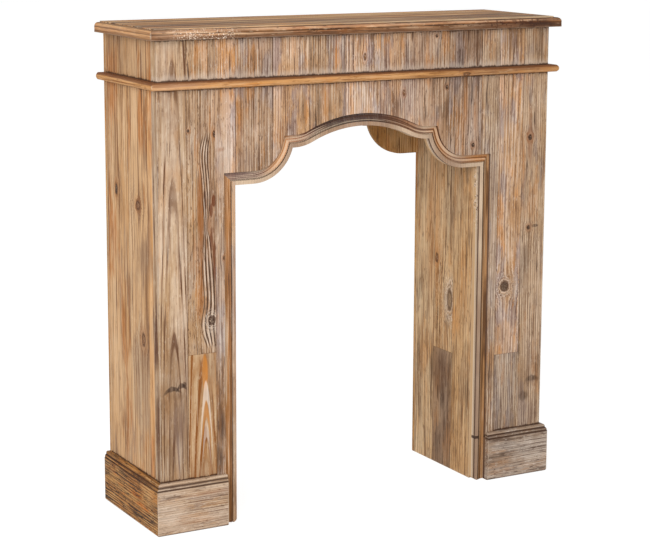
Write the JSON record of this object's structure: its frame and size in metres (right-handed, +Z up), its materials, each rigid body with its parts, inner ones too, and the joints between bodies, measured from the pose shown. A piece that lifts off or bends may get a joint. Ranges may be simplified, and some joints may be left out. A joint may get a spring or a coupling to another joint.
{
  "type": "fireplace surround",
  "caption": "Free-standing wooden fireplace surround with a moulded mantel shelf, a rounded bead, an arched opening with cusps and a run moulding, hollow box legs and moulded plinths.",
  "frame": {"origin": "on the floor, in the middle of the whole object's box", "axes": "+Z up, -Y towards the room, +Y towards the wall, +X to the viewer's right"},
  "size_m": [1.042, 0.306, 1.1],
  "materials": {
    "back_wood": "plain sawn",
    "bead_wood": "waxed, golden orange",
    "front_wood": "white-washed, open grain",
    "cheek_wood": "waxed, warm brown",
    "batten_wood": "planed, bare",
    "plinth_wood": "white-washed, open grain",
    "side_wood": "waxed, golden",
    "edge_wood": "waxed and distressed",
    "shelf_wood": "waxed, lightly white-washed"
  },
  "bodies": {
    "root": {"back_header_stave_1": "back_wood", "back_header_stave_2": "back_wood", "back_header_stave_3": "back_wood", "back_header_stave_4": "back_wood", "back_header_stave_5": "back_wood", "back_header_stave_6": "back_wood", "back_header_stave_7": "back_wood", "back_left_board": "back_wood", "back_right_board": "back_wood", "bead_front": "bead_wood", "bead_left": "bead_wood", "bead_right": "bead_wood", "front_header_stave_1": "front_wood", "front_header_stave_2": "front_wood", "front_header_stave_3": "front_wood", "front_header_stave_4": "front_wood", "front_header_stave_5": "front_wood", "front_header_stave_6": "front_wood", "front_header_stave_7": "front_wood", "front_left_jamb_stave": "front_wood", "front_left_stave_1": "front_wood", "front_left_stave_2": "front_wood", "front_right_jamb_stave": "front_wood", "front_right_stave_1": "front_wood", "front_right_stave_2": "front_wood", "left_cheek_stave_1": "cheek_wood", "left_cheek_stave_2": "cheek_wood", "left_cheek_stave_3": "cheek_wood", "left_foot_batten_back": "batten_wood", "left_foot_batten_front": "batten_wood", "left_leg_cleat": "batten_wood", "left_plinth_front": "plinth_wood", "left_plinth_side": "plinth_wood", "left_side_back_stave": "side_wood", "left_side_front_stave": "side_wood", "left_side_middle_stave": "side_wood", "right_cheek_stave_1": "cheek_wood", "right_cheek_stave_2": "cheek_wood", "right_cheek_stave_3": "cheek_wood", "right_foot_batten_back": "batten_wood", "right_foot_batten_front": "batten_wood", "right_leg_cleat": "batten_wood", "right_plinth_front": "plinth_wood", "right_plinth_side": "plinth_wood", "right_side_back_stave": "side_wood", "right_side_front_stave": "side_wood", "right_side_middle_stave": "side_wood", "shelf_cleat_back": "batten_wood", "shelf_cleat_front": "batten_wood", "shelf_edge_front": "edge_wood", "shelf_edge_left": "edge_wood", "shelf_edge_right": "edge_wood", "shelf_plank_1": "shelf_wood", "shelf_plank_2": "shelf_wood", "shelf_plank_3": "shelf_wood"}
  },
  "joints": []
}
